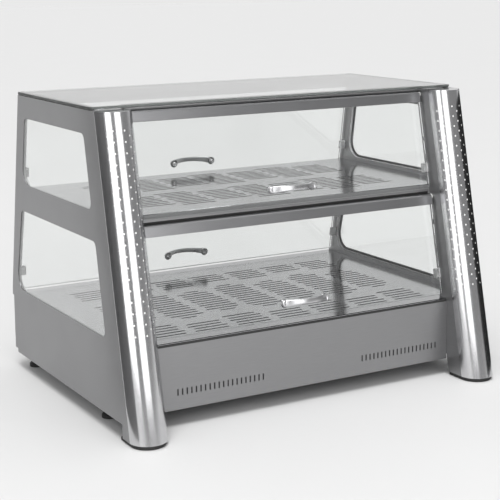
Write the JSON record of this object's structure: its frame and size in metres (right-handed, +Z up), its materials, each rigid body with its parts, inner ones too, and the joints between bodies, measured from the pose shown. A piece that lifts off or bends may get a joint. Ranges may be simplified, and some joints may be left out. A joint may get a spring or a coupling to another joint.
{
  "type": "heated display case",
  "caption": "Countertop heated display case with two glazed levels, leaning glass flap doors with bow handles, perforated round front legs and a vented base.",
  "frame": {"origin": "middle of the overall box on the surface it stands on", "axes": "+X to the right seen from the front, +Y to the back, +Z up"},
  "size_m": [0.85, 0.6609, 0.618],
  "materials": {
    "brushed_steel": "fine horizontal brushing",
    "polished_steel": "mirror polish with fine perforation",
    "galvanised_steel": "dull galvanised sheet",
    "clear_glass": "clear toughened glass",
    "satin_aluminium": "satin extrusion",
    "satin_chrome": "satin chrome plating",
    "black_rubber": "matt black",
    "grey_seal": "grey silicone",
    "black_plastic": "fine texture",
    "amber_lens": "translucent amber",
    "steel_pin": "bright zinc plating",
    "white_nylon": "natural nylon"
  },
  "bodies": {
    "case": {"base_front_panel": "brushed_steel", "base_heater": "galvanised_steel", "base_pan": "galvanised_steel", "cover_screws": "steel_pin", "deck_ledges": "brushed_steel", "deck_plate": "brushed_steel", "door_buffers": "grey_seal", "fan_frame": "black_plastic", "foot_nuts": "galvanised_steel", "heater_stands": "galvanised_steel", "hinge_pins": "steel_pin", "left_leg": "polished_steel", "left_side_liner": "brushed_steel", "left_side_panes": "clear_glass", "left_side_skin": "brushed_steel", "leg_caps": "polished_steel", "leg_soles": "black_rubber", "mains_inlet": "black_plastic", "pilot_lamp": "amber_lens", "rear_cover": "brushed_steel", "right_leg": "polished_steel", "right_side_liner": "brushed_steel", "right_side_panes": "clear_glass", "right_side_skin": "brushed_steel", "shelf_heater": "black_rubber", "shelf_ledges": "brushed_steel", "shelf_pan": "brushed_steel", "shelf_plate": "brushed_steel", "side_seals": "grey_seal", "switch_housing": "black_plastic", "thermostat_body": "black_plastic", "top_front_rail": "brushed_steel", "top_gasket": "black_rubber", "top_glass": "clear_glass", "top_rear_rail": "brushed_steel", "tray_guides": "galvanised_steel"},
    "front_upper_door": {"front_upper_rail": "satin_aluminium", "front_upper_glass": "clear_glass", "front_upper_handle": "satin_chrome", "front_upper_bushes": "white_nylon"},
    "front_lower_door": {"front_lower_rail": "satin_aluminium", "front_lower_glass": "clear_glass", "front_lower_handle": "satin_chrome", "front_lower_bushes": "white_nylon"},
    "rear_upper_door": {"rear_upper_rail": "satin_aluminium", "rear_upper_glass": "clear_glass", "rear_upper_handle": "satin_chrome", "rear_upper_bushes": "white_nylon"},
    "rear_lower_door": {"rear_lower_rail": "satin_aluminium", "rear_lower_glass": "clear_glass", "rear_lower_handle": "satin_chrome", "rear_lower_bushes": "white_nylon"},
    "fan_wheel": {"fan_rotor": "black_plastic"},
    "tray": {"humidity_tray": "brushed_steel"},
    "knob": {"thermostat_knob": "black_plastic"},
    "rocker": {"switch_rocker": "black_plastic"},
    "foot_front_left": {"front_left_foot": "black_rubber"},
    "foot_front_right": {"front_right_foot": "black_rubber"},
    "foot_rear_left": {"rear_left_foot": "black_rubber"},
    "foot_rear_right": {"rear_right_foot": "black_rubber"}
  },
  "joints": [
    {"name": "front_upper_hinge", "type": "hinge", "parent": "case", "child": "front_upper_door", "pos_m": [0, -0.13553, 0.6], "axis": [-1, 0, 0], "range_deg": [0, 85]},
    {"name": "rear_upper_hinge", "type": "hinge", "parent": "case", "child": "rear_upper_door", "pos_m": [0, 0.22914, 0.6], "axis": [1, 0, 0], "range_deg": [0, 85]},
    {"name": "front_lower_hinge", "type": "hinge", "parent": "case", "child": "front_lower_door", "pos_m": [0, -0.18187, 0.382], "axis": [-1, 0, 0], "range_deg": [0, 85]},
    {"name": "rear_lower_hinge", "type": "hinge", "parent": "case", "child": "rear_lower_door", "pos_m": [0, 0.26758, 0.382], "axis": [1, 0, 0], "range_deg": [0, 85]},
    {"name": "fan_axle", "type": "hinge", "parent": "case", "child": "fan_wheel", "pos_m": [0, 0.01, 0.07], "axis": [0, 0, 1], "continuous": true},
    {"name": "tray_slide", "type": "slide", "parent": "case", "child": "tray", "axis": [0, 1, 0], "range_m": [0, 0.15]},
    {"name": "knob_turn", "type": "hinge", "parent": "case", "child": "knob", "pos_m": [0.32, 0.318, 0.118], "axis": [0, 1, 0], "range_deg": [0, 270]},
    {"name": "rocker_tilt", "type": "hinge", "parent": "case", "child": "rocker", "pos_m": [0.25, 0.314, 0.118], "axis": [-1, 0, 0], "range_deg": [0, 20]},
    {"name": "front_left_foot_turn", "type": "hinge", "parent": "case", "child": "foot_front_left", "pos_m": [-0.385, -0.115, 0.02], "axis": [0, 0, 1], "range_deg": [-180, 180]},
    {"name": "front_right_foot_turn", "type": "hinge", "parent": "case", "child": "foot_front_right", "pos_m": [0.385, -0.115, 0.02], "axis": [0, 0, 1], "range_deg": [-180, 180]},
    {"name": "rear_left_foot_turn", "type": "hinge", "parent": "case", "child": "foot_rear_left", "pos_m": [-0.385, 0.285, 0.02], "axis": [0, 0, 1], "range_deg": [-180, 180]},
    {"name": "rear_right_foot_turn", "type": "hinge", "parent": "case", "child": "foot_rear_right", "pos_m": [0.385, 0.285, 0.02], "axis": [0, 0, 1], "range_deg": [-180, 180]}
  ]
}
